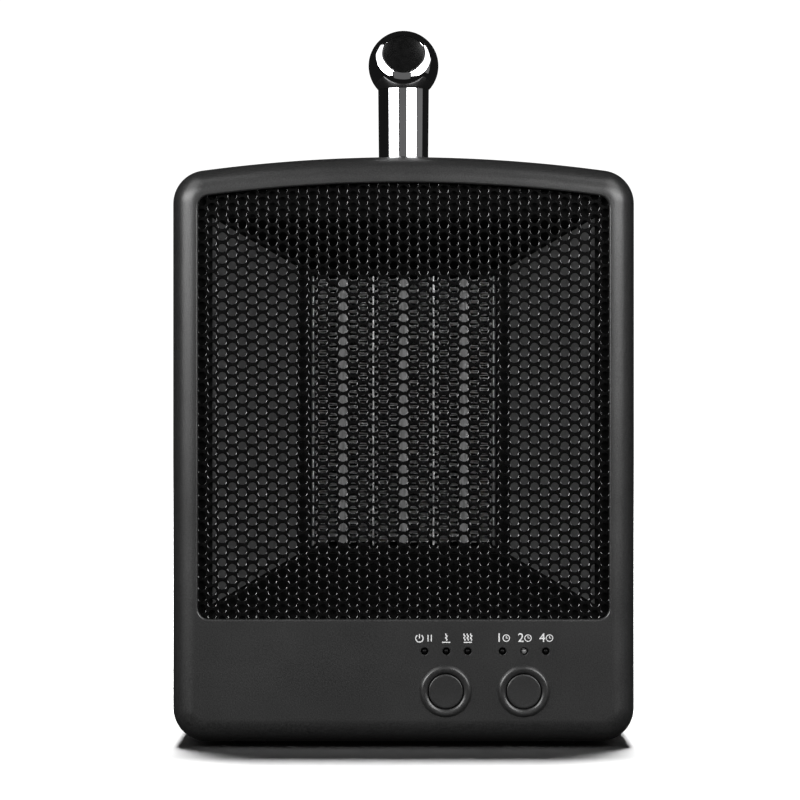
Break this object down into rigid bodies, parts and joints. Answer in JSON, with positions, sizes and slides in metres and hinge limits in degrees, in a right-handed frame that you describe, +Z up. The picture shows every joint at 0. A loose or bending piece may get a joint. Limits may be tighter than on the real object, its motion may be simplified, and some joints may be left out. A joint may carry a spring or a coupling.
{
  "type": "ceramic space heater",
  "caption": "Upright box fan heater with arched top, perforated front, finned ceramic element, axial fan, push buttons and a tubular carrying handle.",
  "frame": {"origin": "on the floor, under the centre of the body", "axes": "+Z up, the front with the grille and buttons faces -Y, +X to the right seen from the front"},
  "size_m": [0.1816, 0.142, 0.284],
  "materials": {
    "body_plastic": "dark charcoal, fine satin grain",
    "cover_plastic": "dark charcoal, fine satin grain",
    "filter_foam": "black open-cell foam",
    "control_plastic": "dark charcoal satin",
    "grille_metal": "black powder coat",
    "duct_plastic": "black heat-proof plastic",
    "fin_aluminium": "plain rolled aluminium",
    "brass": "plain",
    "fan_plastic": "black moulded",
    "steel": "zinc plated",
    "board": "green circuit board",
    "component_plastic": "moulded component",
    "capacitor_plastic": "yellow film capacitor",
    "led_dark": "unlit smoked lens",
    "led_lit": "pale lit lens",
    "gland_plastic": "black moulded",
    "rubber": "black rubber",
    "chrome": "dark polished chrome",
    "cap_black": "polished black",
    "wire_red": "silicone insulation",
    "wire_blue": "silicone insulation"
  },
  "bodies": {
    "housing": {"front_shell": "body_plastic", "rear_cover": "cover_plastic", "intake_filter": "filter_foam", "front_grille": "grille_metal", "grille_retainer": "grille_metal", "air_duct": "duct_plastic", "element_frame": "duct_plastic", "ptc_tube_left": "fin_aluminium", "ptc_tube_middle": "fin_aluminium", "ptc_tube_right": "fin_aluminium", "ptc_fins_left": "fin_aluminium", "ptc_fins_middle": "fin_aluminium", "ptc_fins_right": "fin_aluminium", "ptc_plates": "fin_aluminium", "element_terminals": "brass", "fan_bulkhead": "duct_plastic", "fan_motor": "steel", "motor_bushes": "brass", "motor_screws": "steel", "thermostat": "steel", "thermal_fuse": "steel", "control_board": "board", "mode_switch": "steel", "timer_switch": "steel", "status_leds": "led_dark", "lit_led": "led_lit", "mode_bezel": "control_plastic", "timer_bezel": "control_plastic", "power_board": "board", "relay": "component_plastic", "capacitor": "capacitor_plastic", "terminal_block": "component_plastic", "board_screws": "steel", "tilt_bracket": "steel", "tilt_pin": "steel", "cord_gland": "gland_plastic", "foot_front_left": "rubber", "foot_front_right": "rubber", "foot_rear_left": "rubber", "foot_rear_right": "rubber", "post_flange_front": "chrome", "post_flange_rear": "chrome", "post_front": "chrome", "post_rear": "chrome", "elbow_front": "chrome", "elbow_rear": "chrome", "end_cap": "cap_black", "handle_grip": "chrome", "handle_screws": "steel", "rear_screws": "steel", "heater_wires": "wire_red", "motor_wires": "wire_blue"},
    "fan": {"impeller": "fan_plastic", "motor_shaft": "steel", "impeller_nut": "steel"},
    "mode_key": {"mode_button": "control_plastic"},
    "timer_key": {"timer_button": "control_plastic"},
    "pendulum": {"tilt_pendulum": "brass"}
  },
  "joints": [
    {"name": "fan_spin", "type": "hinge", "parent": "housing", "child": "fan", "pos_m": [0, 0, 0.132], "axis": [0, 1, 0], "continuous": true},
    {"name": "mode_press", "type": "slide", "parent": "housing", "child": "mode_key", "axis": [0, 1, 0], "range_m": [0, 0.0012], "stiffness_N_per_m": 600},
    {"name": "timer_press", "type": "slide", "parent": "housing", "child": "timer_key", "axis": [0, 1, 0], "range_m": [0, 0.0012], "stiffness_N_per_m": 600},
    {"name": "tilt_swing", "type": "hinge", "parent": "housing", "child": "pendulum", "pos_m": [0.048, 0.012, 0.0385], "axis": [0, 1, 0], "range_deg": [-20, 20]}
  ]
}
